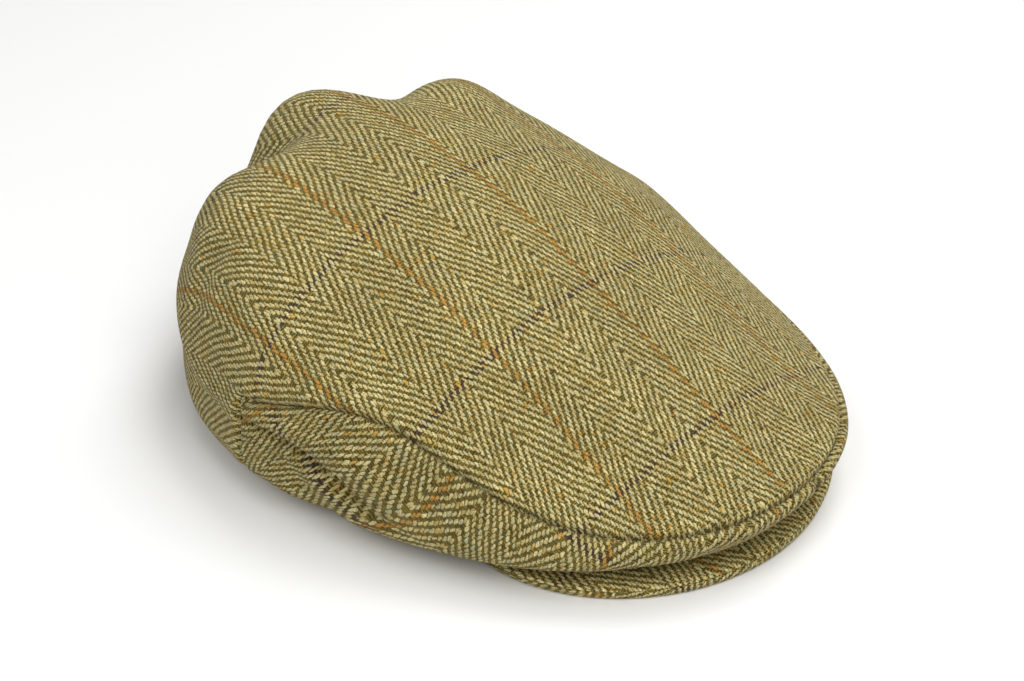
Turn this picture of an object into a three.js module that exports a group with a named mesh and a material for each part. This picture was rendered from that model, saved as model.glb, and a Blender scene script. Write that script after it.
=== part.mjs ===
// Flat cap in herringbone tweed, made of its real pieces: a top panel that runs down the
// back to the rim, two side panels that meet at the centre front, and a peak of two covers.
//
// Millimetres, +Z up. The peak points along -Y and the wearer's right is -X. The cap lies on
// z = 0 as it would on a table: on its rim at the sides and back, and on the edge of its peak
// at the front. Every place on the crown is an angle and a station. The angle runs in degrees
// from the centre front (0) by the wearer's left (90) to the centre back (180) and on. The
// station runs down one meridian: 0 at the pole on top, 3 at the seam, 6 at the rim.

import * as THREE from 'three';

// ---- Cloth and seams ----
const WALL = 2.0; // tweed with its backing
const SEAM_GAP = 0.35; // between two pieces that meet
const HEM_WIDTH = 3.0; // turned edge that the cap rests on

// ---- Crown ----
const POLE_X = -0.2; // where the pole stands, from the middle of the cap
const POLE_Y = 10.0;
const POLE_HEIGHT = 93;
const TOP_SLOPE = 0.27; // rise of the top towards the back, at the pole
const TOP_CURVE_X = 0.0035; // how fast the top falls away to the sides, per millimetre
const TOP_CURVE_Y = 0.0021; // and to the front and back
const MIDDLE_HALF_WIDTH = 52; // oval halfway between the pole and the shoulder
const MIDDLE_HALF_LENGTH = 60;
const SHOULDER_SHARE = 0.85; // the shoulder's radius as a share of the seam's
const REAR_SEAM_ANGLE = 110; // where the side panels end and the top panel runs down

// ---- Head opening, outside its hem: 58 cm round ----
const HEAD_HALF_WIDTH = 84;
const HEAD_HALF_LENGTH = 101;
const HEAD_SETBACK = 5; // middle of the opening behind the pole
const RIM_LIFT = 12; // the peak holds the front of the rim off the table
const RIM_LIFT_ANGLE = 90; // where the rim comes down to the table

// Cross-sections of one half, front to back: heights, and radii from the pole.
const SECTIONS = [
  { angle: 0, shoulderZ: 39, seamR: 146, seamZ: 29, bulgeR: 144, bulgeZ: 19, turnR: 133.5, turnZ: 8.6 },
  { angle: 30, shoulderZ: 40, seamR: 130, seamZ: 27, bulgeR: 134, bulgeZ: 18, turnR: 121, turnZ: 8 },
  { angle: 60, shoulderZ: 56, seamR: 102, seamZ: 42, bulgeR: 114, bulgeZ: 22, turnR: 108, turnZ: 9 },
  { angle: 90, shoulderZ: 67, seamR: 99, seamZ: 54, bulgeR: 107, bulgeZ: 32, turnR: 105, turnZ: 11.5 },
  { angle: 120, shoulderZ: 76, seamR: 114, seamZ: 43, bulgeR: 114, bulgeZ: 32, turnR: 113, turnZ: 13 },
  { angle: 150, shoulderZ: 88, seamR: 117, seamZ: 58, bulgeR: 121, bulgeZ: 40, turnR: 120, turnZ: 14 },
  { angle: 180, shoulderZ: 90, seamR: 116, seamZ: 66, bulgeR: 126, bulgeZ: 43, turnR: 121, turnZ: 14 },
];

// Puffs stand out and dents sink in, each along a line from one place [angle, station] to another.
const FOLDS = [
  { name: 'right rear puff', from: [212, 1.0], to: [212, 5.0], width: 26, height: 3 },
  { name: 'right rear dent', from: [182, 1.0], to: [202, 4.4], width: 16, height: -14 },
  { name: 'centre back puff', from: [171, 0.8], to: [173, 4.4], width: 21, height: 12.5 },
  { name: 'left rear dent', from: [154, 1.0], to: [152, 4.4], width: 13, height: -12 },
  { name: 'left rear puff', from: [134, 0.8], to: [131, 4.6], width: 18, height: 9.5 },
  { name: 'left side sag', from: [72, 1.5], to: [72, 5.5], width: 30, height: -2 },
  { name: 'right side crease', from: [248, 3.0], to: [281, 6.0], width: 9, height: -3.5 },
];

// ---- Peak ----
const PEAK_HALF_ANGLE = 61; // from the centre front to the tip of the crescent
const PEAK_END_ANGLE = 59; // where the crescent is cut blunt
const PEAK_REACH = 47; // from the rim to the edge at the centre front
const PEAK_ROUNDNESS = 0.65; // how the reach dies away towards the tips
const PEAK_THICKNESS = 5.8; // both covers at the centre front
const PEAK_END_THICKNESS = 3.2; // and at the tips
const PEAK_END_LIFT = 1.4; // the tips hang this far above the table
const PEAK_CAMBER = 1.2; // the top stays high and then curls down to the edge
const TOP_COVER_SHARE = 0.34; // share of the thickness that is the top cover
const EDGE_ROLL = 0.9; // the covers round over at the edge
const EDGE_ROLL_START = 0.93; // as a share of the reach

// ---- Fineness of the faces ----
const CROWN_COLUMNS = 108; // round the whole crown
const CROWN_STEPS = [3, 4, 4, 4, 4, 3]; // rings between one station and the next
const PEAK_COLUMNS = 30;
const PEAK_ROWS = [0, 0.25, 0.5, 0.7, 0.85, EDGE_ROLL_START, 1];

const SEAM_STATION = 3;
const RIM_STATION = 6;
const CROWN_COLOUR = 0x918456;
const PEAK_COLOUR = 0x8a7d50;

const radians = THREE.MathUtils.degToRad;

// ---- Curves ----

// A smooth even curve round the cap through one column of SECTIONS.
function roundCurve(column) {
  const values = SECTIONS.map((section) => section[column]);
  const last = values.length - 1;
  const terms = values.map((_, k) => {
    const sum = values.reduce((total, value, j) => {
      const weight = j === 0 || j === last ? 0.5 : 1;
      return total + weight * value * Math.cos((Math.PI * j * k) / last);
    }, 0);
    return ((k === 0 || k === last ? 1 : 2) * sum) / last;
  });
  return (angle) => terms.reduce((total, term, k) => total + term * Math.cos(k * radians(angle)), 0);
}

const ROUND = Object.fromEntries(Object.keys(SECTIONS[0])
  .filter((column) => column !== 'angle')
  .map((column) => [column, roundCurve(column)]));

// Distance from the pole to an oval whose middle lies behind the pole by setback.
function ovalRadius(angle, halfWidth, halfLength, setback = 0) {
  const across = Math.sin(radians(angle)) / halfWidth;
  const along = -Math.cos(radians(angle)) / halfLength;
  const offset = setback / halfLength;
  const square = across * across + along * along;
  const mixed = along * offset;
  return (mixed + Math.sqrt(mixed * mixed + square * (1 - offset * offset))) / square;
}

// Angle as a turn of -180 to 180 degrees from the centre front.
function signedAngle(angle) {
  return ((((angle + 180) % 360) + 360) % 360) - 180;
}

function rimHeight(angle) {
  const share = Math.abs(signedAngle(angle)) / RIM_LIFT_ANGLE;
  return share < 1 ? RIM_LIFT * (1 - share * share) ** 1.5 : 0;
}

function middlePoint(angle) {
  const radius = ovalRadius(angle, MIDDLE_HALF_WIDTH, MIDDLE_HALF_LENGTH);
  const x = radius * Math.sin(radians(angle));
  const y = -radius * Math.cos(radians(angle));
  return [radius, POLE_HEIGHT + TOP_SLOPE * y - TOP_CURVE_X * x * x - TOP_CURVE_Y * y * y];
}

function rimRadius(angle) {
  return ovalRadius(angle, HEAD_HALF_WIDTH, HEAD_HALF_LENGTH, HEAD_SETBACK);
}

// Radius and height at each station of one meridian, with a neighbour past both ends: before
// the pole comes the middle of the opposite meridian, and past the rim a straight run-on.
function meridian(angle) {
  const opposite = middlePoint(angle + 180);
  const turn = [ROUND.turnR(angle), ROUND.turnZ(angle)];
  const rim = [rimRadius(angle), rimHeight(angle)];
  return [
    [-opposite[0], opposite[1]],
    [0, POLE_HEIGHT],
    middlePoint(angle),
    [SHOULDER_SHARE * ROUND.seamR(angle), ROUND.shoulderZ(angle)],
    [ROUND.seamR(angle), ROUND.seamZ(angle)],
    [ROUND.bulgeR(angle), ROUND.bulgeZ(angle)],
    turn,
    rim,
    [2 * rim[0] - turn[0], 2 * rim[1] - turn[1]],
  ];
}

function catmullRom(p0, p1, p2, p3, f) {
  return 0.5 * (2 * p1 + (p2 - p0) * f + (2 * p0 - 5 * p1 + 4 * p2 - p3) * f * f
    + (3 * p1 - p0 - 3 * p2 + p3) * f * f * f);
}

// ---- Crown surface ----

function smoothPoint(angle, station) {
  const knots = meridian(angle);
  const first = Math.min(Math.floor(station), RIM_STATION - 1);
  const [radius, height] = [0, 1].map((axis) => catmullRom(
    ...knots.slice(first, first + 4).map((knot) => knot[axis]), station - first));
  return new THREE.Vector3(radius * Math.sin(radians(angle)), -radius * Math.cos(radians(angle)), height);
}

// Outward normal of a surface given as a function of angle and station. At the pole the
// meridians all meet, so two that cross at right angles give it.
function surfaceNormal(surface, angle, station) {
  const step = 0.02;
  if (station < step) {
    const toLeft = surface(90, step).sub(surface(270, step));
    const toBack = surface(180, step).sub(surface(0, step));
    return toLeft.cross(toBack).normalize();
  }
  const ahead = Math.min(station + step, RIM_STATION);
  const down = surface(angle, ahead).sub(surface(angle, station - step));
  const round = surface(angle + 0.5, station).sub(surface(angle - 0.5, station));
  return down.cross(round).normalize();
}

function foldHeight(angle, station, radius) {
  return FOLDS.reduce((total, fold) => {
    const share = (station - fold.from[1]) / (fold.to[1] - fold.from[1]);
    if (share <= 0 || share >= 1) return total;
    const line = fold.from[0] + (fold.to[0] - fold.from[0]) * share;
    const across = (radius * radians(signedAngle(angle - line))) / fold.width;
    return total + fold.height * Math.sin(Math.PI * share) ** 2 * Math.exp(-across * across);
  }, 0);
}

function crownPoint(angle, station) {
  const point = smoothPoint(angle, station);
  const height = foldHeight(angle, station, Math.hypot(point.x, point.y));
  return height === 0 ? point : point.addScaledVector(surfaceNormal(smoothPoint, angle, station), height);
}

// Outer and inner point of the crown's wall. At the rim the hem's end lies level.
function crownWall(angle, station) {
  const outer = crownPoint(angle, station);
  if (station >= RIM_STATION) {
    const inward = new THREE.Vector3(-Math.sin(radians(angle)), Math.cos(radians(angle)), 0);
    return { outer, inner: outer.clone().addScaledVector(inward, HEM_WIDTH) };
  }
  return { outer, inner: outer.clone().addScaledVector(surfaceNormal(crownPoint, angle, station), -WALL) };
}

// A place on the crown moved by millimetres round the cap and down the meridian, as the edge
// of a panel is to leave its half of the gap at a seam.
function shifted(angle, station, round, down) {
  const here = crownPoint(angle, station);
  const perDegree = here.distanceTo(crownPoint(angle + 0.1, station)) / 0.1;
  const backwards = station >= RIM_STATION ? -0.01 : 0.01;
  const perStation = here.distanceTo(crownPoint(angle, station + backwards)) / 0.01;
  return [angle + round / perDegree, station + down / perStation];
}

// ---- Cloth solids ----

// A sheet of cloth with its outer and inner side. Faces are listed anticlockwise as seen from
// outside. Each has a twin on the inner side, and every open edge is closed by a strip.
class Cloth {
  constructor() {
    this.outer = [];
    this.inner = [];
    this.faces = [];
  }

  add({ outer, inner }) {
    this.outer.push(outer);
    this.inner.push(inner);
    return this.outer.length - 1;
  }

  // Joins two rows of points that run side by side.
  weave(row, nextRow) {
    for (let i = 1; i < row.length; i += 1) {
      this.faces.push([row[i - 1], nextRow[i - 1], nextRow[i], row[i]]);
    }
  }

  solid(name, colour) {
    const count = this.outer.length;
    const openEdges = new Map();
    const triangles = [];
    for (const face of this.faces) {
      face.forEach((from, i) => {
        const to = face[(i + 1) % face.length];
        if (!openEdges.delete(`${to} ${from}`)) openEdges.set(`${from} ${to}`, [from, to]);
      });
      for (let i = 2; i < face.length; i += 1) {
        triangles.push(face[0], face[i - 1], face[i]);
        triangles.push(face[0] + count, face[i] + count, face[i - 1] + count);
      }
    }
    for (const [from, to] of openEdges.values()) {
      triangles.push(to, from, from + count, to, from + count, to + count);
    }
    const geometry = new THREE.BufferGeometry().setFromPoints([...this.outer, ...this.inner]);
    geometry.setIndex(triangles);
    geometry.translate(POLE_X, POLE_Y, 0);
    geometry.computeVertexNormals();
    const material = new THREE.MeshStandardMaterial({ color: colour, roughness: 0.95, metalness: 0 });
    const mesh = new THREE.Mesh(geometry, material);
    mesh.name = name;
    return mesh;
  }
}

// Stations of the rings from one named station to another, both ends included.
function ringStations(from, to) {
  const stations = [from];
  for (let station = from; station < to; station += 1) {
    const steps = CROWN_STEPS[station];
    for (let i = 1; i <= steps; i += 1) stations.push(station + i / steps);
  }
  return stations;
}

// ---- Pieces ----

// The top panel: all of the crown above the seam, and behind the rear seams all of it.
function crownTop() {
  const cloth = new Cloth();
  const columns = Array.from({ length: CROWN_COLUMNS }, (_, i) => (360 * i) / CROWN_COLUMNS);
  const isBack = (angle) => Math.abs(signedAngle(angle)) > REAR_SEAM_ANGLE - 0.01;
  const isRearSeam = (angle) => Math.abs(Math.abs(signedAngle(angle)) - REAR_SEAM_ANGLE) < 0.01;
  const away = (angle) => Math.sign(signedAngle(angle)) * (SEAM_GAP / 2);

  const pole = cloth.add(crownWall(0, 0));
  let row = null;
  for (const station of ringStations(0, SEAM_STATION).slice(1)) {
    const ring = columns.map((angle) => {
      const atSeam = station === SEAM_STATION && (!isBack(angle) || isRearSeam(angle));
      if (!atSeam) return cloth.add(crownWall(angle, station));
      const round = isRearSeam(angle) ? away(angle) : 0;
      return cloth.add(crownWall(...shifted(angle, station, round, -SEAM_GAP / 2)));
    });
    const next = [...ring.slice(1), ring[0]];
    if (row === null) ring.forEach((point, i) => cloth.faces.push([pole, point, next[i]]));
    else cloth.weave([...row, row[0]], [...ring, ring[0]]);
    row = ring;
  }

  const backColumns = columns.filter(isBack);
  row = row.filter((_, i) => isBack(columns[i]));
  for (const station of ringStations(SEAM_STATION, RIM_STATION).slice(1)) {
    const ring = backColumns.map((angle) => cloth.add(isRearSeam(angle)
      ? crownWall(...shifted(angle, station, away(angle), 0))
      : crownWall(angle, station)));
    cloth.weave(row, ring);
    row = ring;
  }
  return cloth.solid('crown_top', CROWN_COLOUR);
}

// A side panel: from the centre front to the rear seam and from the seam down to the rim,
// turned under at the front above the peak. Side is 1 for the wearer's left, -1 for the right.
function sidePanel(name, side) {
  const cloth = new Cloth();
  const count = Math.round((CROWN_COLUMNS * REAR_SEAM_ANGLE) / 360);
  const columns = Array.from({ length: count + 1 }, (_, i) => (side * REAR_SEAM_ANGLE * i) / count);
  if (side < 0) columns.reverse();
  const half = SEAM_GAP / 2;
  let row = null;
  for (const station of ringStations(SEAM_STATION, RIM_STATION)) {
    const down = station === SEAM_STATION ? half : 0;
    const ring = columns.map((angle, i) => {
      let round = 0;
      if (i === 0) round = half;
      if (i === columns.length - 1) round = -half;
      const atEdge = round !== 0 || down !== 0;
      const place = atEdge ? shifted(angle, station, round, down) : [angle, station];
      return cloth.add(crownWall(...place));
    });
    if (row !== null) cloth.weave(row, ring);
    row = ring;
  }
  return cloth.solid(name, CROWN_COLOUR);
}

// Height of the peak's top and its thickness, at an angle and a share of the reach.
function peakSection(angle, share) {
  const side = Math.abs(angle) / PEAK_HALF_ANGLE;
  const thickness = THREE.MathUtils.lerp(PEAK_THICKNESS, PEAK_END_THICKNESS, side * side);
  const edgeTop = PEAK_END_LIFT * side ** 4 + thickness;
  const innerTop = rimHeight(angle) - SEAM_GAP;
  const top = edgeTop + (innerTop - edgeTop) * (1 - share ** PEAK_CAMBER);
  return { top, thickness };
}

// A point of the peak, at a height below its top given as a share of its thickness.
function peakPoint(angle, share, depth) {
  const side = Math.abs(angle) / PEAK_HALF_ANGLE;
  const inner = rimRadius(angle) - HEM_WIDTH;
  const outer = rimRadius(angle) + PEAK_REACH * (1 - side * side) ** PEAK_ROUNDNESS;
  const rolled = share > EDGE_ROLL_START && (depth === 0 || depth === 1);
  const radius = THREE.MathUtils.lerp(inner, outer, share) - (rolled ? EDGE_ROLL : 0);
  const { top, thickness } = peakSection(angle, share);
  const height = top - depth * thickness;
  return new THREE.Vector3(radius * Math.sin(radians(angle)), -radius * Math.cos(radians(angle)), height);
}

// One cover of the peak, a crescent between two depths.
function peakCover(name, fromDepth, toDepth) {
  const cloth = new Cloth();
  const step = (2 * PEAK_END_ANGLE) / PEAK_COLUMNS;
  const columns = Array.from({ length: PEAK_COLUMNS + 1 }, (_, i) => i * step - PEAK_END_ANGLE);
  let row = null;
  for (const share of PEAK_ROWS) {
    const ring = columns.map((angle) => cloth.add({
      outer: peakPoint(angle, share, fromDepth),
      inner: peakPoint(angle, share, toDepth),
    }));
    if (row !== null) cloth.weave(row, ring);
    row = ring;
  }
  return cloth.solid(name, PEAK_COLOUR);
}

const cap = new THREE.Group();
cap.add(
  crownTop(),
  sidePanel('side_panel_left', 1),
  sidePanel('side_panel_right', -1),
  peakCover('peak_top', 0, TOP_COVER_SHARE),
  peakCover('peak_under', TOP_COVER_SHARE + SEAM_GAP / PEAK_END_THICKNESS, 1),
);

export default cap;
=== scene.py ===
# %% [markdown]
# # Flat cap in herringbone tweed
#
# The cap is five pieces of cloth: a top panel that runs down the back to the rim, two side
# panels that meet at the centre front, and a peak with an upper and an under cover. The cap
# lies on a table on its hem and on the edge of its peak. The first cell loads the packed
# model as the frame, and every piece below stands for one of its nodes.

# %% Frame
import math

import bmesh
import bpy
import numpy as np
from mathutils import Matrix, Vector


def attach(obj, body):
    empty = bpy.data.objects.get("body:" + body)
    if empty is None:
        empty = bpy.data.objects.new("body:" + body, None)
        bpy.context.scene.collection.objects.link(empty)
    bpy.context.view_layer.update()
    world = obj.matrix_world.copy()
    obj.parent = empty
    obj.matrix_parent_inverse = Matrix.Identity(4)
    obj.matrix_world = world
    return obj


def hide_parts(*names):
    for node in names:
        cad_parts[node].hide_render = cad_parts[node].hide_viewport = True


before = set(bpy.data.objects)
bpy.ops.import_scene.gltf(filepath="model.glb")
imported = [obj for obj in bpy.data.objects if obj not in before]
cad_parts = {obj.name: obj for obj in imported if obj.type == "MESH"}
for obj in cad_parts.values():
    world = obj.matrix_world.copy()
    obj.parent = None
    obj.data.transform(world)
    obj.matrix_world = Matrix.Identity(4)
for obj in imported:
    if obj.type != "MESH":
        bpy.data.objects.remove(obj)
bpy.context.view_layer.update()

print("nodes:", ", ".join(sorted(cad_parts)))

# %% [markdown]
# ## Sizes
#
# All of the sizes are millimetres and all angles degrees. A place on the crown is an angle and
# a station. The angle runs from the centre front (0) by the wearer's left (90) to the centre
# back (180) and on. The station runs down one meridian: 0 at the pole on top, 3 at the seam
# between the top and the sides, 6 at the rim. The sections give heights, and radii from the
# pole, every 30 degrees down one half. The other half is its mirror image, apart from the folds.

# %% Sizes
MM = 0.001
POLE = (-0.2, 10.0)
POLE_HEIGHT = 93
TOP_SLOPE, TOP_CURVE_X, TOP_CURVE_Y = 0.27, 0.0035, 0.0021
MIDDLE_HALF_WIDTH, MIDDLE_HALF_LENGTH = 52, 60
SHOULDER_SHARE = 0.85
REAR_SEAM_ANGLE = 110
HEAD_HALF_WIDTH, HEAD_HALF_LENGTH, HEAD_SETBACK = 84, 101, 5
RIM_LIFT, RIM_LIFT_ANGLE = 12, 90
SEAM_STATION, RIM_STATION = 3, 6

SECTION_COLUMNS = ("shoulder_z", "seam_r", "seam_z", "bulge_r", "bulge_z", "turn_r", "turn_z")
SECTIONS = (
    (39, 146, 29, 144, 19, 133.5, 8.6),  # centre front
    (40, 130, 27, 134, 18, 121, 8),
    (56, 102, 42, 114, 22, 108, 9),
    (67, 99, 54, 107, 32, 105, 11.5),  # side
    (76, 114, 43, 114, 32, 113, 13),
    (88, 117, 58, 121, 40, 120, 14),
    (90, 116, 66, 126, 43, 121, 14),  # centre back
)

# Each fold: from angle and station, to angle and station, width and height.
FOLDS = {
    "right rear puff": (212, 1.0, 212, 5.0, 26, 3),
    "right rear dent": (182, 1.0, 202, 4.4, 16, -14),
    "centre back puff": (171, 0.8, 173, 4.4, 21, 12.5),
    "left rear dent": (154, 1.0, 152, 4.4, 13, -12),
    "left rear puff": (134, 0.8, 131, 4.6, 18, 9.5),
    "left side sag": (72, 1.5, 72, 5.5, 30, -2),
    "right side crease": (248, 3.0, 281, 6.0, 9, -3.5),
}

# %% [markdown]
# ## The surface of the crown
#
# A soft crown could be sculpted, or dropped over a form as simulated cloth. Here it has to keep
# to the frame's sizes, so it is worked out from them. An even cosine series through the seven
# sections runs each size smoothly round the cap, and a Catmull-Rom curve runs down each meridian
# through the stations. A fold is a soft ridge or valley that rises and dies away along its line.
# Everything works on whole arrays of places at once, which keeps the fine cloth quick to make.

# %% Surface of the crown
NEXT_STATION, NEXT_ANGLE = 0.02, 0.5  # how far off the neighbours of a normal are


def round_curve(name):
    """Smooth even curve round the cap through one column of SECTIONS."""
    values = np.array([row[SECTION_COLUMNS.index(name)] for row in SECTIONS], float)
    last = len(values) - 1
    order = np.arange(last + 1)
    weight = np.where((order == 0) | (order == last), 0.5, 1.0)
    terms = [2 * weight[k] * np.sum(weight * values * np.cos(np.pi * order * k / last)) / last
             for k in order]
    return lambda angle: sum(term * np.cos(k * np.radians(angle)) for k, term in enumerate(terms))


ROUND = {name: round_curve(name) for name in SECTION_COLUMNS}


def oval_radius(angle, half_width, half_length, setback=0.0):
    """Distance from the pole to an oval whose middle lies behind the pole by setback."""
    across = np.sin(np.radians(angle)) / half_width
    along = -np.cos(np.radians(angle)) / half_length
    offset = setback / half_length
    square = across**2 + along**2
    mixed = along * offset
    return (mixed + np.sqrt(mixed**2 + square * (1 - offset**2))) / square


def signed_angle(angle):
    return (np.asarray(angle, float) + 180) % 360 - 180


def rim_height(angle):
    share = np.minimum(np.abs(signed_angle(angle)) / RIM_LIFT_ANGLE, 1)
    return RIM_LIFT * (1 - share**2) ** 1.5


def rim_radius(angle):
    return oval_radius(angle, HEAD_HALF_WIDTH, HEAD_HALF_LENGTH, HEAD_SETBACK)


def middle_point(angle):
    """The oval halfway between the pole and the shoulder: radius and height."""
    radius = oval_radius(angle, MIDDLE_HALF_WIDTH, MIDDLE_HALF_LENGTH)
    x, y = radius * np.sin(np.radians(angle)), -radius * np.cos(np.radians(angle))
    return radius, POLE_HEIGHT + TOP_SLOPE * y - TOP_CURVE_X * x**2 - TOP_CURVE_Y * y**2


def meridian(angle):
    """Radii and heights at the stations, with a neighbour before the pole and past the rim."""
    middle, opposite = middle_point(angle), middle_point(angle + 180)
    seam_r, turn_r, turn_z = (ROUND[name](angle) for name in ("seam_r", "turn_r", "turn_z"))
    rim_r, rim_z, nought = rim_radius(angle), rim_height(angle), np.zeros_like(angle)
    radii = [-opposite[0], nought, middle[0], SHOULDER_SHARE * seam_r, seam_r,
             ROUND["bulge_r"](angle), turn_r, rim_r, 2 * rim_r - turn_r]
    heights = [opposite[1], nought + POLE_HEIGHT, middle[1], ROUND["shoulder_z"](angle),
               ROUND["seam_z"](angle), ROUND["bulge_z"](angle), turn_z, rim_z, 2 * rim_z - turn_z]
    return np.array(radii), np.array(heights)


def catmull_rom(p0, p1, p2, p3, f):
    return 0.5 * (2 * p1 + (p2 - p0) * f + (2 * p0 - 5 * p1 + 4 * p2 - p3) * f**2
                  + (3 * p1 - p0 - 3 * p2 + p3) * f**3)


def polar(angle, radius, height):
    turn = np.radians(angle)
    return np.stack([radius * np.sin(turn), -radius * np.cos(turn), height], axis=-1)


def smooth_point(angle, station):
    """The crown without its folds."""
    first = np.clip(np.floor(station), 0, RIM_STATION - 1).astype(int)
    span = np.arange(4)[:, None] + first
    radius, height = (catmull_rom(*np.take_along_axis(knots, span, 0), station - first)
                      for knots in meridian(angle))
    return polar(angle, radius, height)


def surface_normal(surface, angle, station):
    """Outward normal, from neighbours down the meridian and round the cap."""
    station = np.maximum(station, 2 * NEXT_STATION)
    below = np.minimum(station + NEXT_STATION, RIM_STATION)
    down = surface(angle, below) - surface(angle, station - NEXT_STATION)
    across = surface(angle + NEXT_ANGLE, station) - surface(angle - NEXT_ANGLE, station)
    normal = np.cross(down, across)
    return normal / np.linalg.norm(normal, axis=-1, keepdims=True)


def fold_height(folds, angle, station, radius):
    total = np.zeros_like(radius)
    for from_angle, start, to_angle, end, width, height in folds.values():
        share = np.clip((station - start) / (end - start), 0, 1)
        line = from_angle + (to_angle - from_angle) * share
        across = radius * np.radians(signed_angle(angle - line)) / width
        total += height * np.sin(np.pi * share) ** 2 * np.exp(-across**2)
    return total


def crown_point(angle, station):
    """The crown's outer surface with its folds, in millimetres from the pole."""
    point = smooth_point(angle, station)
    height = fold_height(FOLDS, angle, station, np.hypot(point[..., 0], point[..., 1]))
    return point + surface_normal(smooth_point, angle, station) * height[..., None]


# %% [markdown]
# ## Lengths along the cloth
#
# Cloth is flat before it is sewn, so the weave has to be laid out in lengths measured along
# the surface. An automatic unwrap would stretch the weave and split it where no seam is. One
# table holds the way down each meridian from the pole, another the way round the seam from the
# centre front.

# %% Lengths along the cloth
ANGLE_STEP, STATION_STEPS = 2.0, 72
INSIDE = 0.001  # keeps the last place within the table
TABLE_ANGLES = np.arange(0, 361, ANGLE_STEP)
TABLE_STATIONS = np.linspace(0, RIM_STATION, STATION_STEPS + 1)


def measured(points):
    """Length along each row of points, from the row's start."""
    steps = np.linalg.norm(np.diff(points, axis=1), axis=-1)
    return np.concatenate([np.zeros((len(points), 1)), np.cumsum(steps, axis=1)], axis=1)


table_angle, table_station = np.meshgrid(TABLE_ANGLES, TABLE_STATIONS, indexing="ij")
table_points = crown_point(table_angle.ravel(), table_station.ravel()).reshape(*table_angle.shape, 3)
DOWN_LENGTH = measured(table_points)
seam_column = int(np.argmin(np.abs(TABLE_STATIONS - SEAM_STATION)))
SEAM_LENGTH = measured(table_points[None, :, seam_column])[0]


def down_length(angle, station):
    """Way along the cloth from the pole down to a station."""
    i = np.clip((angle % 360) / ANGLE_STEP, 0, len(TABLE_ANGLES) - 1 - INSIDE)
    j = np.clip(station / RIM_STATION * STATION_STEPS, 0, STATION_STEPS - INSIDE)
    i0, j0 = np.floor(i).astype(int), np.floor(j).astype(int)
    fi, fj = i - i0, j - j0
    low = DOWN_LENGTH[i0, j0] * (1 - fj) + DOWN_LENGTH[i0, j0 + 1] * fj
    high = DOWN_LENGTH[i0 + 1, j0] * (1 - fj) + DOWN_LENGTH[i0 + 1, j0 + 1] * fj
    return low * (1 - fi) + high * fi


def seam_length(angle):
    """Way round the seam from the centre front, negative towards the wearer's right."""
    turn = signed_angle(angle)
    return np.sign(turn) * np.interp(np.abs(turn), TABLE_ANGLES, SEAM_LENGTH)


BACK = len(TABLE_ANGLES) // 2
print(f"cloth from pole to rim: front {DOWN_LENGTH[0, -1]:.0f} mm, back {DOWN_LENGTH[BACK, -1]:.0f} mm")

# %% [markdown]
# ## Where the cloth bends at its seams and edges
#
# Two panels sewn right sides together roll into their seam, so the surface dips to the stitch
# line and stands a little proud beside it, and is pressed flatter towards the rim. A bump map
# could suggest that, but seams also show in the outline, so here they move the cloth. The
# frame's folds are joined by finer ones: the sharp side crease with the lip above it, the ridges
# and dimples behind, and the slack of cloth that has been worn.

# %% Seam rolls and fine folds
SEAM_DEPTH = 2.4
SEAM_ROLL = 1.3  # how far from the stitch line the cloth is still bending
SEAM_SWELL = 0.45  # how proud the cloth stands beside the seam
SWELL_AWAY, SWELL_WIDTH = 4, 3  # where the swell is highest, and how wide it is
SEAM_CORNER = 3.0  # how far the seams round off where two of them meet
CORNER_OFFSET = 0.35  # what that rounding takes off the distance
PRESSED_FROM, PRESSED_SHARE = 4.8, 0.6  # the station where a seam gets flatter, and by how much
SLACK_LENGTH, SLACK_FADE = 31, 1.5  # the length of its waves, and the stations it fades over
# Each fold: from angle and station, to angle and station, width and height.
FINE_FOLDS = {
    "crease line": (243, 3.3, 295, 4.7, 11.0, -5.5),
    "crease lip": (246, 3.0, 298, 4.2, 18.0, 2.4),
    "corner pull": (251, 2.3, 262, 4.6, 5.0, 0.6),
    "rear dimple": (223, 1.5, 229, 3.0, 7.0, -2.8),
    "puff ridge": (207, 1.1, 205, 3.6, 9.0, 2.4),
    "notch face": (190, 1.2, 193, 3.6, 7.0, -2.0),
    "front slack": (318, 3.2, 338, 5.2, 9.0, -0.7),
    "front turned under": (335, 4.0, 335, 6.0, 62.0, -2.6),
    "far side ridge": (62, 1.1, 70, 3.0, 9.0, 1.0),
}


def seam_distance(angle, station, panel):
    """Distance in millimetres from the nearest seam of a panel, top or side."""
    turn = np.abs(signed_angle(angle))
    point = smooth_point(angle, station)
    per_degree = np.radians(np.hypot(point[..., 0], point[..., 1]))
    from_seam = down_length(angle, station) - down_length(angle, np.full_like(station, SEAM_STATION))
    past_rear = (turn - REAR_SEAM_ANGLE) * per_degree
    if panel == "top":
        return np.hypot(np.maximum(-from_seam, 0), np.maximum(past_rear, 0))
    nearest = [from_seam, -past_rear, turn * per_degree]
    blend = sum(np.exp(-np.maximum(distance, 0) / SEAM_CORNER) for distance in nearest)
    return -SEAM_CORNER * np.log(blend) + CORNER_OFFSET


def seam_roll(distance):
    bend = np.exp(-((distance / SEAM_ROLL) ** 2))
    swell = np.exp(-(((distance - SWELL_AWAY) / SWELL_WIDTH) ** 2))
    return SEAM_SWELL * swell - SEAM_DEPTH * bend


def slack(point):
    """Low, slow unevenness of soft cloth: two sets of crossed waves, 0.35 and 0.2 mm high."""
    x, y, z = (point[..., i] / SLACK_LENGTH for i in range(3))
    wave = np.sin(2.1 * x + 1.3 * y + 0.4) * np.sin(1.7 * y - 1.1 * z + 1.9)
    return 0.35 * wave + 0.2 * np.sin(3.9 * x - 2.2 * z + 0.7) * np.sin(3.1 * y + 2.4)


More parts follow.
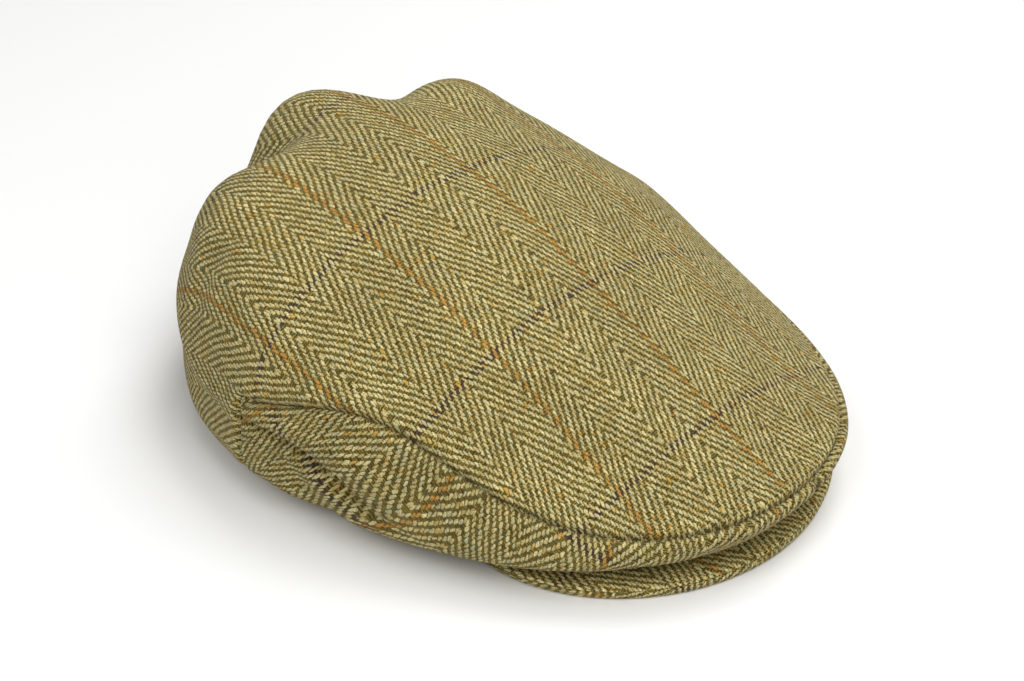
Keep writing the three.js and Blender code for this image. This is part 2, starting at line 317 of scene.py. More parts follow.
def dressed_point(angle, station, panel):
    """The crown's surface with seams, fine folds and slack."""
    point = crown_point(angle, station)
    radius = np.hypot(point[..., 0], point[..., 1])
    height = fold_height(FINE_FOLDS, angle, station, radius)
    pressed = 1 - PRESSED_SHARE * np.clip(station - PRESSED_FROM, 0, 1)
    height += seam_roll(seam_distance(angle, station, panel)) * pressed
    height += slack(point) * np.clip((RIM_STATION - station) / SLACK_FADE, 0, 1)
    return point + surface_normal(crown_point, angle, station) * height[..., None]


# %% [markdown]
# ## From places to cloth
#
# A panel could be cut out of one finished crown. A grid of its own is better: its rows follow
# its seams, its edge is free to turn in as a hem, and it remembers how it lay when it was flat.
# Each vertex knows its column and row and moves to the place on the crown that they name. Rows
# crowd towards the seams, where the cloth bends most. The flat coordinates go into the UV map
# in metres, so one weave fits every piece, and Solidify gives the sheet its thickness inwards.

# %% From places to cloth
# Each step of the turned hem: how far inwards, and how far up.
HEM = ((0.0, 0.0), (0.9, -0.1), (1.8, 0.1), (2.5, 0.7),
       (2.9, 1.7), (2.9, 3.2), (2.7, 6.0), (2.4, 9.0))
HEM_LENGTH, HEM_STEPS = 12, 14
CLOTH = 0.9  # thickness of the tweed itself
WELD = 0.02  # vertices nearer than this are one


def hem_point(angle, share, panel):
    """The turned hem: from the rim level inwards, then up on the inside."""
    rim = dressed_point(angle, np.full_like(share, RIM_STATION), panel)
    knots = np.arange(len(HEM)) / (len(HEM) - 1)
    inward = np.interp(share, knots, [step[0] for step in HEM])
    up = np.interp(share, knots, [step[1] for step in HEM])
    return rim + polar(angle, -inward, np.maximum(up, -rim[..., 2]))


def place(angle, station, panel):
    """A place on the crown or, past the rim, on the hem, in metres in the shared frame."""
    point = dressed_point(angle, np.minimum(station, RIM_STATION), panel)
    hem = hem_point(angle, np.clip(station - RIM_STATION, 0, 1), panel)
    point = np.where((station > RIM_STATION)[..., None], hem, point)
    point[..., 2] = np.maximum(point[..., 2], 0)
    return (point + np.array([*POLE, 0])) * MM


def crowded(start, end, count, at_start=True, at_end=True):
    """Values from start to end that crowd together at the ends that are seams."""
    share = np.linspace(0, 1, count + 1)
    if at_start and at_end:
        share = (1 - np.cos(np.pi * share)) / 2
    elif at_start:
        share = 1 - np.cos(np.pi / 2 * share)
    else:
        share = np.sin(np.pi / 2 * share)
    return start + (end - start) * share


def cloth_grid(bm, columns, rows, move, flatten):
    """Adds a grid to bm, moves each vertex to its place and notes where the flat cloth had it."""
    flat = bm.verts.layers.float_vector.get("flat") or bm.verts.layers.float_vector.new("flat")
    made = bmesh.ops.create_grid(bm, x_segments=len(columns) - 1, y_segments=len(rows) - 1, size=1)
    verts = made["verts"]
    column = np.array(columns)[[round((v.co.x + 1) / 2 * (len(columns) - 1)) for v in verts]]
    row = np.array(rows)[[round((v.co.y + 1) / 2 * (len(rows) - 1)) for v in verts]]
    for vert, point, uv in zip(verts, move(column, row), flatten(column, row)):
        vert.co = point
        vert[flat] = (*uv, 0)


def cloth_object(name, bm, thickness=CLOTH, outward=True):
    """Closes a grid into a sheet with its weave coordinates, thickness and smooth faces."""
    bmesh.ops.remove_doubles(bm, verts=bm.verts, dist=WELD * MM)
    if outward:
        bmesh.ops.reverse_faces(bm, faces=bm.faces)
    flat = bm.verts.layers.float_vector["flat"]
    uv = bm.loops.layers.uv.new("weave")
    for face in bm.faces:
        face.smooth = True
        for loop in face.loops:
            loop[uv].uv = loop.vert[flat].xy
    mesh = bpy.data.meshes.new(name)
    bm.to_mesh(mesh)
    bm.free()
    piece = bpy.data.objects.new(name, mesh)
    bpy.context.scene.collection.objects.link(piece)
    solidify = piece.modifiers.new("cloth", "SOLIDIFY")
    solidify.thickness = thickness * MM
    solidify.offset = -1
    print(f"{name}: {len(mesh.polygons)} faces, {max(v.co.z for v in mesh.vertices) / MM:.1f} mm high")
    return piece


HEM_ROWS = RIM_STATION + np.linspace(0, 1, HEM_STEPS + 1)[1:]

# %% [markdown]
# ## Top panel
#
# The top panel is a disc of cloth whose back hangs down to the rim between the rear seams. A
# square grid would have no row along its round seam, so it is one grid round the pole, whose
# first row is welded to a point, and a second one for the back, welded on where they meet. Its
# weave lies as it would on a flat disc: the way from the pole, in the direction of the angle.

# %% Top panel
FRONT_COLUMNS, BACK_COLUMNS = 146, 100
TOP_ROWS, BACK_ROWS = 52, 40


def flatten_top(angle, station):
    length = down_length(angle, station) + np.maximum(station - RIM_STATION, 0) * HEM_LENGTH
    turn = np.radians(angle)
    return np.stack([length * np.sin(turn), -length * np.cos(turn)], axis=-1) * MM


def top_panel():
    bm = bmesh.new()
    back = crowded(REAR_SEAM_ANGLE, 360 - REAR_SEAM_ANGLE, BACK_COLUMNS)
    columns = [*np.linspace(-REAR_SEAM_ANGLE, REAR_SEAM_ANGLE, FRONT_COLUMNS + 1)[:-1], *back]
    rows = crowded(0, SEAM_STATION, TOP_ROWS, at_start=False)
    cloth_grid(bm, columns, rows, lambda a, s: place(a, s, "top"), flatten_top)
    lower = [*np.linspace(SEAM_STATION, RIM_STATION, BACK_ROWS + 1), *HEM_ROWS]
    cloth_grid(bm, back, lower, lambda a, s: place(a, s, "top"), flatten_top)
    return cloth_object("top_panel", bm)


crown = top_panel()

# %% [markdown]
# ## Side panels
#
# Each side panel is a strip from the centre front to its rear seam. A weave square to the strip
# would be simpler, but this strip was cut aslant from the cloth, so the warp leans forward as it
# goes up, and leans more where the strip bends behind. The seams and the weave of the two panels
# mirror each other, and only their folds differ.

# %% Side panels
FRONT_LEAN, REAR_LEAN = 27, 57  # of the warp, from square to the strip towards the front
BEND_FROM, BEND_TO = 140, 225  # the part of the strip that bends, from the centre front
STRIP_LENGTH = 260  # of the table below, a little more than the way to the rear seam
SIDE_COLUMNS, SIDE_ROWS = 110, 50

strip_way = np.arange(0.0, STRIP_LENGTH + 1)
bend = np.clip((strip_way - BEND_FROM) / (BEND_TO - BEND_FROM), 0, 1)
strip_lean = np.radians(FRONT_LEAN + (REAR_LEAN - FRONT_LEAN) * bend**2 * (3 - 2 * bend))
strip_across = np.concatenate([[0], np.cumsum(np.cos(strip_lean[1:]))])
strip_along = np.concatenate([[0], np.cumsum(np.sin(strip_lean[1:]))])


def flatten_side(angle, station):
    way = np.abs(seam_length(angle))
    down = down_length(angle, station) - down_length(angle, np.full_like(station, SEAM_STATION))
    down = down + np.maximum(station - RIM_STATION, 0) * HEM_LENGTH
    lean = np.interp(way, strip_way, strip_lean)
    across = down * np.sin(lean) - np.interp(way, strip_way, strip_across)
    along = -down * np.cos(lean) - np.interp(way, strip_way, strip_along)
    return np.stack([across, along], axis=-1) * MM


def side_panel(name, start, end):
    bm = bmesh.new()
    rows = [*crowded(SEAM_STATION, RIM_STATION, SIDE_ROWS, at_end=False), *HEM_ROWS]
    columns = crowded(start, end, SIDE_COLUMNS)
    cloth_grid(bm, columns, rows, lambda a, s: place(a, s, "side"), flatten_side)
    return cloth_object(name, bm)


left_side = side_panel("left_side", 0, REAR_SEAM_ANGLE)
right_side = side_panel("right_side", -REAR_SEAM_ANGLE, 0)

# %% [markdown]
# ## Peak
#
# The peak is a crescent board with a cover above and one below. The upper cover rolls over the
# edge into a seam near its top corner, and the under cover comes up round the edge to meet it.
# One crescent, extruded and bevelled, would have no such seam, so each cover is a grid that
# follows the cross-section: across the board, round its edge and into the seam.

# %% Peak
PEAK_HALF_ANGLE, PEAK_END_ANGLE = 61, 59
PEAK_REACH, PEAK_ROUNDNESS = 47, 0.65
PEAK_THICKNESS, PEAK_END_THICKNESS, PEAK_END_LIFT = 5.8, 3.2, 1.4
PEAK_CAMBER = 1.2
HEM_WIDTH, SEAM_GAP = 3.0, 0.35
CORNER, UNDER_CORNER = 1.1, 1.6
TIP_CLOSE_ANGLE, LEAST_THICKNESS = 55, 2.6
TUCK_IN, TOP_TUCK_DOWN, UNDER_TUCK_UP = 1.3, 0.12, 0.2  # how the covers turn into their seam
EDGE_GAP, EDGE_BULGE = 0.5, 0.35
EDGE_LENGTH = {"top": 1.7, "under": 5.1}  # cloth round the edge
PEAK_CLOTH, PEAK_COLUMNS = 0.8, 120
# Rows across the cover, closer near the edge, then round the edge and into the seam.
PEAK_STEPS = [*np.linspace(0, 0.9, 19), 0.94, 0.97, *np.linspace(1, 2, 11), *np.linspace(2.2, 3, 5)]


def peak_edge(angle):
    """Radius, height of the top and thickness at the edge, and the radius of the inner side."""
    side = np.minimum(np.abs(angle) / PEAK_HALF_ANGLE, 1)
    outer = rim_radius(angle) + PEAK_REACH * (1 - side**2) ** PEAK_ROUNDNESS
    thickness = PEAK_THICKNESS + (PEAK_END_THICKNESS - PEAK_THICKNESS) * side**2
    return outer, PEAK_END_LIFT * side**4 + thickness, thickness, rim_radius(angle) - HEM_WIDTH


def peak_top_height(angle, share):
    top = peak_edge(angle)[1]
    return top + (rim_height(angle) - SEAM_GAP - top) * (1 - share**PEAK_CAMBER)


def peak_path(angle, step, cover):
    """Radius and height of a cover's cross-section. Steps 0 to 1 run from the inner side to
    the edge, 1 to 2 round the edge, and 2 to 3 into the seam."""
    outer, _, thickness, inner = peak_edge(angle)
    closing = np.clip((np.abs(angle) - TIP_CLOSE_ANGLE) / (PEAK_END_ANGLE - TIP_CLOSE_ANGLE), 0, 1)
    thickness = np.maximum(thickness * np.sqrt(1 - closing**2), LEAST_THICKNESS)
    share = np.clip(step, 0, 1)
    turn = np.clip(step - 1, 0, 1)
    tuck = np.clip(step - 2, 0, 1)
    if cover == "top":
        bend = turn * np.pi / 2
        radius = inner + (outer - CORNER - inner) * share + CORNER * np.sin(bend) - TUCK_IN * tuck
        height = peak_top_height(angle, share) - CORNER * (1 - np.cos(bend))
        return radius, height - TOP_TUCK_DOWN * tuck
    bend = np.minimum(turn * 2, 1) * np.pi / 2
    rise = np.maximum(turn * 2 - 1, 0)
    face = thickness - CORNER - UNDER_CORNER - EDGE_GAP
    bulge = EDGE_BULGE * np.sin(np.pi * rise)
    radius = inner + (outer - UNDER_CORNER - inner) * share + UNDER_CORNER * np.sin(bend)
    radius += bulge - TUCK_IN * tuck
    height = peak_top_height(angle, share) - thickness + UNDER_CORNER * (1 - np.cos(bend))
    return radius, height + np.maximum(face, 0) * rise + UNDER_TUCK_UP * tuck


def peak_cover(name, cover):
    def move(angle, step):
        radius, height = peak_path(angle, step, cover)
        return (polar(angle, radius, height) + np.array([*POLE, 0])) * MM

    def flatten(angle, step):
        radius = peak_path(angle, np.minimum(step, 1), cover)[0]
        radius = radius + np.maximum(step - 1, 0) * EDGE_LENGTH[cover]
        return polar(angle, radius, radius)[..., :2] * MM

    bm = bmesh.new()
    columns = np.linspace(-PEAK_END_ANGLE, PEAK_END_ANGLE, PEAK_COLUMNS + 1)
    cloth_grid(bm, columns, PEAK_STEPS, move, flatten)
    return cloth_object(name, bm, thickness=PEAK_CLOTH, outward=cover == "top")


peak_top = peak_cover("peak_upper_cover", "top")
peak_under = peak_cover("peak_under_cover", "under")

# %% [markdown]
# ## Tweed
#
# Tweed is two sets of yarns that cross, the pale warp and the darker weft. In a twill each warp
# yarn comes up in short floats, and the floats of the next yarn start a little further on, which
# draws a slanting line. After a set number of warp yarns the slant turns back, and that makes a
# herringbone. A picture of cloth could be laid on instead, but it would blur close by and
# repeat. The groups below work the weave out yarn by yarn, so it stays sharp.

# %% Node helpers
def group(name, inputs, outputs):
    """A node group with named inputs (name, type, value) and outputs (name, type)."""
    tree = bpy.data.node_groups.new(name, "ShaderNodeTree")
    for label, kind, value in inputs:
        socket = tree.interface.new_socket(label, in_out="INPUT", socket_type=f"NodeSocket{kind}")
        if value is not None:
            socket.default_value = value
    for label, kind in outputs:
        tree.interface.new_socket(label, in_out="OUTPUT", socket_type=f"NodeSocket{kind}")
    tree.nodes.new("NodeGroupInput").name = "in"
    tree.nodes.new("NodeGroupOutput").name = "out"
    return tree


def feed(tree, socket, value):
    """Links a socket to another one, or sets it to a plain value."""
    if isinstance(value, bpy.types.NodeSocket):
        tree.links.new(value, socket)
    else:
        socket.default_value = value


def calc(tree, operation, *values):
    node = tree.nodes.new("ShaderNodeMath")
    node.operation = operation
    for socket, value in zip(node.inputs, values):
        feed(tree, socket, value)
    return node.outputs[0]


def remap(tree, value, low, high, to_low=0.0, to_high=1.0):
    node = tree.nodes.new("ShaderNodeMapRange")
    node.interpolation_type = "SMOOTHSTEP"
    for socket, entry in zip(node.inputs, (value, low, high, to_low, to_high)):
        feed(tree, socket, entry)
    return node.outputs[0]


def mix(tree, factor, a, b, blend="MIX"):
    node = tree.nodes.new("ShaderNodeMix")
    node.data_type = "RGBA"
    node.blend_type = blend
    feed(tree, node.inputs["Factor"], factor)
    feed(tree, node.inputs[6], a)
    feed(tree, node.inputs[7], b)
    return node.outputs[2]


def noise(tree, vector, scale, detail=2.0, roughness=0.5):
    node = tree.nodes.new("ShaderNodeTexNoise")
    feed(tree, node.inputs["Vector"], vector)
    node.inputs["Scale"].default_value = scale
    node.inputs["Detail"].default_value = detail
    node.inputs["Roughness"].default_value = roughness
    return node.outputs["Fac"]


def combine(tree, x, y, z=0.0):
    node = tree.nodes.new("ShaderNodeCombineXYZ")
    for socket, value in zip(node.inputs, (x, y, z)):
        feed(tree, socket, value)
    return node.outputs[0]


def use(tree, shared, **values):
    """Adds a shared group to a tree and fills its inputs by name."""
    node = tree.nodes.new("ShaderNodeGroup")
    node.node_tree = shared
    for label, value in values.items():
        feed(tree, node.inputs[label.replace("_", " ")], value)
    return node.outputs


# %% [markdown]
# The first group turns a place on the cloth into yarn counts. Straight and even yarns would look
# printed. Wool yarns never lie quite straight, so noise pushes the counts about a little.

# %% Group: yarn counts
PITCH = 0.933  # from one yarn to the next
SLOW_WANDER, QUICK_WANDER = 2.4, 1.5  # in yarns
SLOW_SCALE, QUICK_SCALE = 55.0, 420.0


def yarn_counts_group():
    tree = group("Yarn counts", [("Place", "Vector", None), ("Turn", "Float", 0.0),
                                 ("Shift Across", "Float", 0.0), ("Shift Along", "Float", 0.0)],
                 [("Across", "Float"), ("Along", "Float")])
    inside, out = tree.nodes["in"].outputs, tree.nodes["out"].inputs
    turned = tree.nodes.new("ShaderNodeVectorRotate")
    turned.rotation_type = "Z_AXIS"
    feed(tree, turned.inputs["Vector"], inside["Place"])
    feed(tree, turned.inputs["Angle"], inside["Turn"])
    split = tree.nodes.new("ShaderNodeSeparateXYZ")
    feed(tree, split.inputs[0], turned.outputs[0])
    for axis, label, salt in ((0, "Across", 0.0), (1, "Along", 7.3)):
        salted = combine(tree, calc(tree, "ADD", split.outputs[0], salt), split.outputs[1], salt)
        slow = calc(tree, "SUBTRACT", noise(tree, salted, SLOW_SCALE, 1.0), 0.5)
        quick = calc(tree, "SUBTRACT", noise(tree, salted, QUICK_SCALE, 1.0), 0.5)
        wander = calc(tree, "MULTIPLY_ADD", slow, SLOW_WANDER, calc(tree, "MULTIPLY", quick, QUICK_WANDER))
        shift = inside[f"Shift {label}"]
        count = calc(tree, "MULTIPLY_ADD", split.outputs[axis], 1 / (PITCH * MM), shift)
        feed(tree, out[label], calc(tree, "ADD", count, wander))
    return tree


yarn_counts = yarn_counts_group()

# %% [markdown]
# The second group is one pale float of the warp. On each warp yarn a float comes up every six
# yarns, and two yarns further on the next warp yarn, which draws the slanting line of the
# twill. After a stripe of warp yarns the slant turns back: that is the herringbone.

# %% Group: warp float
STRIPE_ENDS = 15.5  # warp yarns in one stripe of the herringbone, 15 and 16 by turns
FLOAT_REPEAT, FLOAT_STEP = 6.0, 2.0
FLOAT_HALF_LENGTH, FLOAT_HALF_WIDTH = 1.60, 0.58
FLOAT_UNEVENNESS = 0.22  # how deep the loosest floats sink


def warp_float_group():
    tree = group("Warp float", [("Across", "Float", 0.0), ("Along", "Float", 0.0), ("Yarn", "Float", 0.0)],
                 [("Height", "Float"), ("Float", "Float")])
    inside, out = tree.nodes["in"].outputs, tree.nodes["out"].inputs
    middle = calc(tree, "ADD", inside["Yarn"], 0.5)
    stripe = calc(tree, "FLOOR", calc(tree, "DIVIDE", middle, STRIPE_ENDS))
    odd = calc(tree, "FLOORED_MODULO", stripe, 2.0)
    slant = calc(tree, "MULTIPLY_ADD", odd, -2.0, 1.0)
    start = calc(tree, "MULTIPLY", calc(tree, "MULTIPLY", slant, FLOAT_STEP), inside["Yarn"])
    past = calc(tree, "SUBTRACT", inside["Along"], start)
    turns = calc(tree, "ROUND", calc(tree, "DIVIDE", past, FLOAT_REPEAT))
    from_middle = calc(tree, "MULTIPLY_ADD", turns, -FLOAT_REPEAT, past)
    sideways = calc(tree, "SUBTRACT", inside["Across"], middle)
    width, length = (
        calc(tree, "POWER", calc(tree, "ABSOLUTE", calc(tree, "DIVIDE", distance, half)), 2.0)
        for distance, half in ((sideways, FLOAT_HALF_WIDTH), (from_middle, FLOAT_HALF_LENGTH)))
    chance = tree.nodes.new("ShaderNodeTexWhiteNoise")
    chance.noise_dimensions = "2D"
    feed(tree, chance.inputs["Vector"], combine(tree, inside["Yarn"], turns))
    sunk = calc(tree, "MULTIPLY", chance.outputs["Value"], FLOAT_UNEVENNESS)
    full = calc(tree, "SUBTRACT", calc(tree, "SUBTRACT", 1.0, width), length)
    feed(tree, out["Height"], calc(tree, "SUBTRACT", full, sunk))
    feed(tree, out["Float"], turns)
    return tree


warp_float = warp_float_group()

# %% [markdown]
# The third group is the whole weave. A float is rounder than its own column, so the nearer
# neighbour's float is looked up as well, and the higher of the two shows. Where neither
# reaches, the darker weft shows between them.

# %% Group: herringbone
WEFT_HEIGHT = 0.42  # of the weft's dome, beside 1 for a whole float
SHOWN_FROM, SHOWN_FULL = -0.22, 0.10  # the float heights between which the weft gives way


def herringbone_group():
    tree = group("Herringbone", [("Across", "Float", 0.0), ("Along", "Float", 0.0)],
                 [("Warp On Top", "Float"), ("Height", "Float"), ("Warp Yarn", "Float"), ("Float", "Float"),
                  ("Weft Yarn", "Float")])
    inside, out = tree.nodes["in"].outputs, tree.nodes["out"].inputs
    own = calc(tree, "FLOOR", inside["Across"])
    side = calc(tree, "SIGN", calc(tree, "SUBTRACT", calc(tree, "FRACT", inside["Across"]), 0.5))
    neighbour = calc(tree, "ADD", own, side)
    own_float, next_float = (use(tree, warp_float, Across=inside["Across"], Along=inside["Along"], Yarn=yarn)
                             for yarn in (own, neighbour))
    warp_height = calc(tree, "MAXIMUM", own_float["Height"], next_float["Height"])
    crossed = calc(tree, "GREATER_THAN", next_float["Height"], own_float["Height"])
    float_step = calc(tree, "SUBTRACT", next_float["Float"], own_float["Float"])
    weft_dome = calc(tree, "SINE", calc(tree, "MULTIPLY", calc(tree, "FRACT", inside["Along"]), math.pi))
    weft_height = calc(tree, "MULTIPLY", weft_dome, WEFT_HEIGHT)
    shown = remap(tree, warp_height, SHOWN_FROM, SHOWN_FULL)
    rounded = calc(tree, "POWER", calc(tree, "MAXIMUM", warp_height, 0.0), 0.6)
    feed(tree, out["Warp On Top"], shown)
    feed(tree, out["Height"], calc(tree, "MAXIMUM", rounded, weft_height))
    feed(tree, out["Warp Yarn"], calc(tree, "MULTIPLY_ADD", crossed, side, own))
    feed(tree, out["Float"], calc(tree, "MULTIPLY_ADD", crossed, float_step, own_float["Float"]))
    feed(tree, out["Weft Yarn"], calc(tree, "FLOOR", inside["Along"]))
    return tree


herringbone = herringbone_group()

# %% [markdown]
# The last group dyes a yarn. One even colour would look like plastic thread. Tweed yarn is spun
# from wool of several colours, so here the colour drifts along each yarn and from yarn to yarn,
# with a few bright flecks.

# %% Group: yarn colour
YARN_DRIFT = 0.77  # how far apart in the noise two neighbouring yarns are


def yarn_colour_group():
    tree = group("Yarn colour", [("Yarn", "Float", 0.0), ("Way", "Float", 0.0), ("Salt", "Float", 0.0),
                                 ("Pale", "Color", (1, 1, 1, 1)), ("Deep", "Color", (0, 0, 0, 1)),
                                 ("Tint", "Color", (0.5, 0.5, 0.5, 1)), ("Fleck", "Color", (1, 0.5, 0, 1)),
                                 ("Fleck Share", "Float", 0.07)],
                 [("Colour", "Color")])
    inside, out = tree.nodes["in"].outputs, tree.nodes["out"].inputs
    yarn = calc(tree, "MULTIPLY", inside["Yarn"], YARN_DRIFT)

    def drift(quickness, salt, scale, detail):
        """Noise that changes from yarn to yarn and, by its quickness, along each yarn."""
        along = calc(tree, "MULTIPLY", inside["Way"], quickness)
        spot = combine(tree, yarn, along, calc(tree, "ADD", inside["Salt"], salt))
        return noise(tree, spot, scale, detail)

    shade = remap(tree, drift(0.16, 0.0, 2.3, 1.0), 0.33, 0.67)
    colour = mix(tree, shade, inside["Deep"], inside["Pale"])
    tinted = remap(tree, drift(0.11, 5.7, 1.9, 1.0), 0.48, 0.66)
    colour = mix(tree, tinted, colour, inside["Tint"])
    edge = calc(tree, "SUBTRACT", 0.74, inside["Fleck Share"])
    flecks = remap(tree, drift(0.23, 11.1, 2.9, 0.0), edge, calc(tree, "ADD", edge, 0.05))
    feed(tree, out["Colour"], mix(tree, flecks, colour, inside["Fleck"]))
    return tree


yarn_colour = yarn_colour_group()

# %% [markdown]
# The material lays the weave on a piece. Warp and weft get their own dyes. Two warp yarns in
# every 58 are orange and three weft yarns in every 73 are dark purple, which draws the
# overcheck. Thousands of modelled yarns would take millions of faces, so a bump and painted
# shade between the floats give them their roundness. A sheen gives the soft edge of wool.
# The tone lightens or darkens a whole piece with painted light and shade: painted shade on the
# sides and, a little, on the top, painted light on the peak and its under cover. It only makes up
# for how this studio light falls on them: the cloth is one cloth, and under other lights every
# tone would be 1.

# %% Tweed material
WARP_DYES = {"Pale": (0.60, 0.52, 0.25, 1), "Deep": (0.44, 0.345, 0.125, 1),
             "Tint": (0.45, 0.41, 0.21, 1), "Fleck": (0.50, 0.30, 0.06, 1), "Fleck_Share": 0.02}
WEFT_DYES = {"Pale": (0.33, 0.24, 0.045, 1), "Deep": (0.135, 0.095, 0.012, 1),
             "Tint": (0.20, 0.18, 0.060, 1), "Fleck": (0.34, 0.17, 0.03, 1), "Fleck_Share": 0.02}
ORANGE, ORANGE_EVERY, ORANGE_WIDTH, ORANGE_SHARE = (0.44, 0.20, 0.025, 1), 58.0, 2.0, 0.85
PURPLE, PURPLE_EVERY, PURPLE_WIDTH, PURPLE_SHARE = (0.065, 0.030, 0.032, 1), 73.0, 3.0, 0.75
FIBRE_SCALE, FIBRE_SHADE = 1900.0, (0.55, 1.38)
PATCH_SCALE, PATCH_SHADE = 38.0, (0.93, 1.07)
# Painted shade: the colour is darkened towards the bottom of the weave, between the floats, and lifted a
# little on the floats' tops.
DEEPEST, HIGHEST, HIGHEST_AT = 0.14, 1.04, 0.55  # shade at the bottom of the weave and on its floats
BUMP, BUMP_STRENGTH, FIBRE_BUMP = 0.00035, 0.9, 0.35


def stripe_mask(tree, yarn, every, first, width):
    """1 on the yarns that carry a stripe of the overcheck."""
    place_in_repeat = calc(tree, "FLOORED_MODULO", calc(tree, "SUBTRACT", yarn, first), every)
    return calc(tree, "LESS_THAN", place_in_repeat, width)


def tweed(name, turn=0.0, shift=(0.0, 0.0), orange_first=0.0, purple_first=0.0, painted_shading=1.0):
    material = bpy.data.materials.new(name)
    material.use_nodes = True
    tree = material.node_tree
    shader = tree.nodes["Principled BSDF"]
    weave_map = tree.nodes.new("ShaderNodeUVMap")
    weave_map.uv_map = "weave"
    counts = use(tree, yarn_counts, Place=weave_map.outputs[0], Turn=turn,
                 Shift_Across=shift[0], Shift_Along=shift[1])
    weave = use(tree, herringbone, Across=counts["Across"], Along=counts["Along"])

    float_way = calc(tree, "MULTIPLY_ADD", weave["Float"], 4.7, calc(tree, "MULTIPLY", counts["Along"], 0.25))
    warp = use(tree, yarn_colour, Yarn=weave["Warp Yarn"], Way=float_way, Salt=1.0,
               **WARP_DYES)["Colour"]
    weft = use(tree, yarn_colour, Yarn=weave["Weft Yarn"], Way=counts["Across"], Salt=3.0,
               **WEFT_DYES)["Colour"]
    orange = stripe_mask(tree, weave["Warp Yarn"], ORANGE_EVERY, orange_first, ORANGE_WIDTH)
    purple = stripe_mask(tree, weave["Weft Yarn"], PURPLE_EVERY, purple_first, PURPLE_WIDTH)
    warp = mix(tree, calc(tree, "MULTIPLY", orange, ORANGE_SHARE), warp, ORANGE)
    weft = mix(tree, calc(tree, "MULTIPLY", purple, PURPLE_SHARE), weft, PURPLE)
    colour = mix(tree, weave["Warp On Top"], weft, warp)

    fibre_place = tree.nodes.new("ShaderNodeTexCoord").outputs["Object"]
    fibres = noise(tree, fibre_place, FIBRE_SCALE, 2.0, 0.7)
    patches = noise(tree, fibre_place, PATCH_SCALE, 3.0, 0.55)
    # Painted shade between the floats, worked out from the weave's height.
    painted_weave_shade = remap(tree, weave["Height"], 0.0, HIGHEST_AT, DEEPEST, HIGHEST)
    shade = calc(tree, "MULTIPLY", painted_weave_shade, remap(tree, fibres, 0.3, 0.7, *FIBRE_SHADE))
    # Times the tone, the random patches also carry the piece's painted light and shade.
    patches_and_painted_shading = remap(tree, patches, 0.3, 0.7, *(end * painted_shading for end in PATCH_SHADE))
    shade = calc(tree, "MULTIPLY", shade, patches_and_painted_shading)
    grey = combine(tree, shade, shade, shade)
    feed(tree, shader.inputs["Base Color"], mix(tree, 1.0, colour, grey, "MULTIPLY"))

    bump = tree.nodes.new("ShaderNodeBump")
    bump.inputs["Strength"].default_value = BUMP_STRENGTH
    bump.inputs["Distance"].default_value = BUMP
    relief = calc(tree, "MULTIPLY_ADD", fibres, FIBRE_BUMP, weave["Height"])
    feed(tree, bump.inputs["Height"], relief)
    feed(tree, shader.inputs["Normal"], bump.outputs[0])
    shader.inputs["Roughness"].default_value = 0.92
    shader.inputs["Specular IOR Level"].default_value = 0.15
    shader.inputs["Sheen Weight"].default_value = 0.12
    shader.inputs["Sheen Roughness"].default_value = 0.6
    shader.inputs["Sheen Tint"].default_value = (0.75, 0.72, 0.5, 1)
    return material


# Painted shade on both side panels: their tone below 1 darkens them.
SIDE_WEAVE = {"shift": (18.5, 0.0), "orange_first": 52.0, "purple_first": 20.0, "painted_shading": 0.86}

# Painted tone per piece: a little painted shade on the top, painted light on the peak and its under cover.
materials = {
    crown: tweed("tweed_top", turn=0.15, shift=(-8.0, 0.0), orange_first=55.0, purple_first=17.0,
                 painted_shading=0.95),
    left_side: tweed("tweed_left", **SIDE_WEAVE),
    right_side: tweed("tweed_right", **SIDE_WEAVE),
    peak_top: tweed("tweed_peak", orange_first=12.0, purple_first=50.0, painted_shading=1.25),
    peak_under: tweed("tweed_peak_under", orange_first=33.0, purple_first=9.0, painted_shading=1.1),
}
for piece, material in materials.items():
    piece.data.materials.append(material)
print(len(materials), "materials from", len(bpy.data.node_groups), "shared groups")

# %% [markdown]
# ## Floor, light and camera
#
# Four large soft lights hang over a pale floor, as in a small studio: the key on the wearer's
# left, one overhead, one on the right and a weak one in front that reaches the peak. Small lamps
# would draw hard shadows of every seam. Little light comes from all round, so that cloth that
# turns under is darker. The camera looks down on the wearer's right side.

# %% Floor, light and camera
MIDDLE = Vector((0, 0, 0.04))  # what the lights point at
FLOOR_SIZE, FLOOR_COLOUR = 6, (0.84, 0.84, 0.83, 1)
WORLD_STRENGTH = 0.18
LIGHTS = (  # name, place, size and power
    ("key", (0.8, -0.1, 1.5), 1.1, 15),
    ("overhead", (-0.2, -0.7, 1.7), 1.5, 18),
    ("side", (-1.2, 0.1, 1.4), 1.0, 10),
    ("front", (-0.75, -1.15, 0.95), 0.9, 4),
)


def plain_floor():
    bm = bmesh.new()
    bmesh.ops.create_grid(bm, x_segments=1, y_segments=1, size=FLOOR_SIZE)
    mesh = bpy.data.meshes.new("floor")
    bm.to_mesh(mesh)
    bm.free()
    floor = bpy.data.objects.new("floor", mesh)
    bpy.context.scene.collection.objects.link(floor)
    material = bpy.data.materials.new("pale_floor")
    material.use_nodes = True
    shader = material.node_tree.nodes["Principled BSDF"]
    shader.inputs["Base Color"].default_value = FLOOR_COLOUR
    shader.inputs["Roughness"].default_value = 0.9
    mesh.materials.append(material)
    return floor


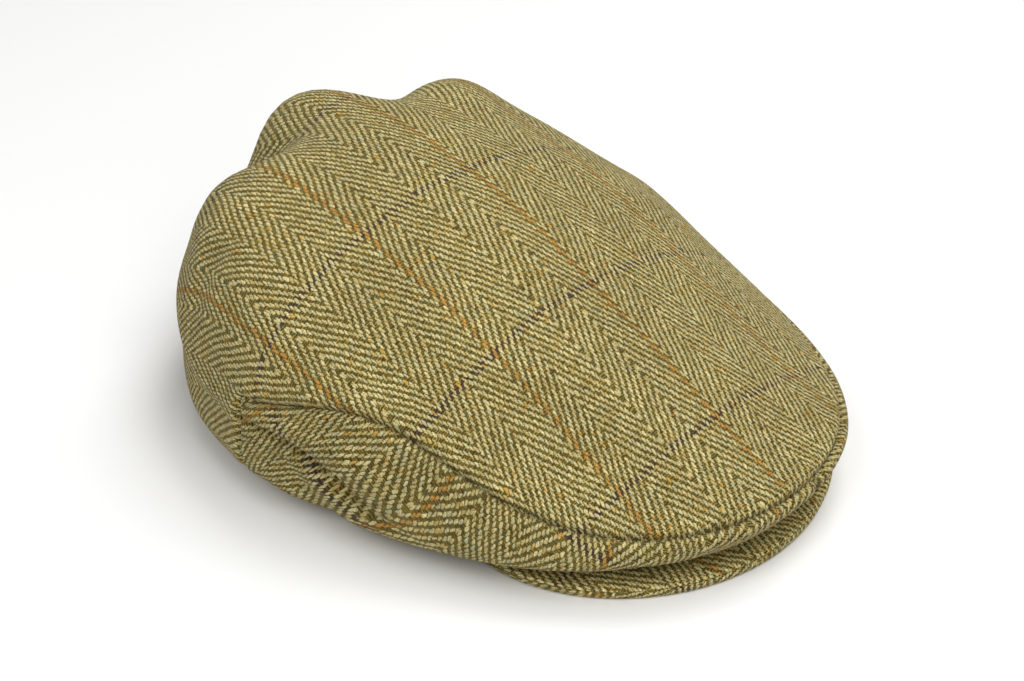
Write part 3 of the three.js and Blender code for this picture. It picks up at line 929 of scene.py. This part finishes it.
def aim(thing, point):
    direction = point - thing.location
    thing.rotation_euler = direction.to_track_quat("-Z", "Y").to_euler()


def soft_light(name, spot, size, power):
    data = bpy.data.lights.new(name, "AREA")
    data.shape = "DISK"
    data.size = size
    data.energy = power
    lamp = bpy.data.objects.new(name, data)
    lamp.location = spot
    bpy.context.scene.collection.objects.link(lamp)
    aim(lamp, MIDDLE)


plain_floor()
for light in LIGHTS:
    soft_light(*light)
world = bpy.data.worlds.new("studio")
world.use_nodes = True
world.node_tree.nodes["Background"].inputs["Color"].default_value = (1, 1, 1, 1)
world.node_tree.nodes["Background"].inputs["Strength"].default_value = WORLD_STRENGTH
bpy.context.scene.world = world
bpy.context.scene.view_settings.view_transform = "Standard"

CAMERA_AZIMUTH, CAMERA_ELEVATION, CAMERA_DISTANCE = math.radians(-54), math.radians(35.1), 0.779
target = MIDDLE + Vector((0, POLE[1] * MM, 0))
level = math.cos(CAMERA_ELEVATION)
away = Vector((math.sin(CAMERA_AZIMUTH) * level, -math.cos(CAMERA_AZIMUTH) * level,
               math.sin(CAMERA_ELEVATION)))
camera = bpy.data.objects.new("camera", bpy.data.cameras.new("camera"))
camera.location = target + away * CAMERA_DISTANCE
camera.data.lens = 70
camera.data.sensor_width = 36
camera.data.shift_x = 0.0217
camera.data.shift_y = -0.0276
bpy.context.scene.collection.objects.link(camera)
aim(camera, target)
bpy.context.scene.camera = camera

# %% [markdown]
# ## Hand over
#
# Each piece rides on the one body and stands for its CAD node, which is hidden. The height of
# each piece is printed, so that the looks can be held to the CAD model's size.

# %% Hand over
STANDS_FOR = {
    crown: "crown_top",
    left_side: "side_panel_left",
    right_side: "side_panel_right",
    peak_top: "peak_top",
    peak_under: "peak_under",
}
for piece, node in STANDS_FOR.items():
    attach(piece, "root")
    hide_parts(node)

for piece in STANDS_FOR:
    shape = piece.evaluated_get(bpy.context.evaluated_depsgraph_get()).to_mesh()
    heights = [v.co.z / MM for v in shape.vertices]
    print(piece.name, "from", round(min(heights), 2), "to", round(max(heights), 2), "mm")
